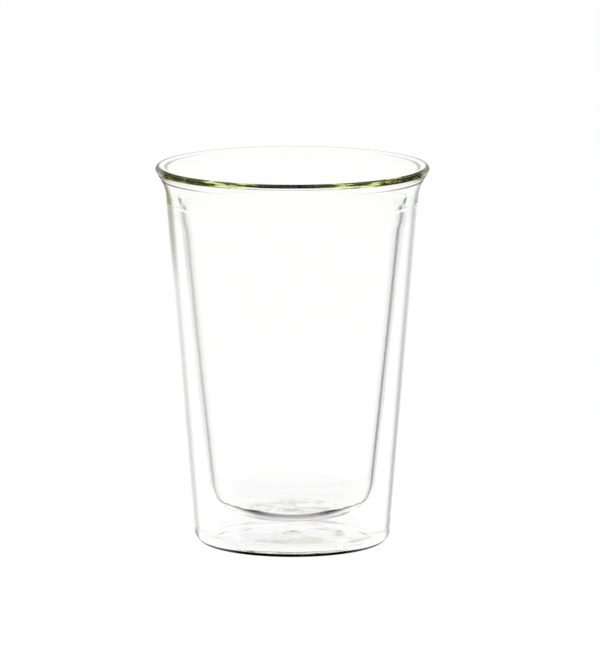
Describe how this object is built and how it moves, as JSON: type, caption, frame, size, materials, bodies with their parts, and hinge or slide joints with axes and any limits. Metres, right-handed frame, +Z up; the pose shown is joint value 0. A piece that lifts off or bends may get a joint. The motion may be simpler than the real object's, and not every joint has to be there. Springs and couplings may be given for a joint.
{
  "type": "double walled glass cup",
  "caption": "Tapered clear glass tumbler with two walls, a flared melted lip and a sealed air space; holds a hot or cold drink.",
  "frame": {"origin": "centre of the foot ring, on the table", "axes": "+Z up along the cup's axis to the open mouth; the cup is round, so X and Y are free"},
  "size_m": [0.09, 0.09, 0.1255],
  "materials": {
    "inner_glass": "clear, fire-polished",
    "outer_glass": "clear, fire-polished",
    "rim_glass": "clear with an olive edge tint, melted round",
    "base_glass": "clear, slightly wavy",
    "seal_glass": "clear, melted drop"
  },
  "bodies": {
    "root": {"inner_cup": "inner_glass", "outer_cup": "outer_glass", "rim_bead": "rim_glass", "base_disc": "base_glass", "vent_seal": "seal_glass"}
  },
  "joints": []
}
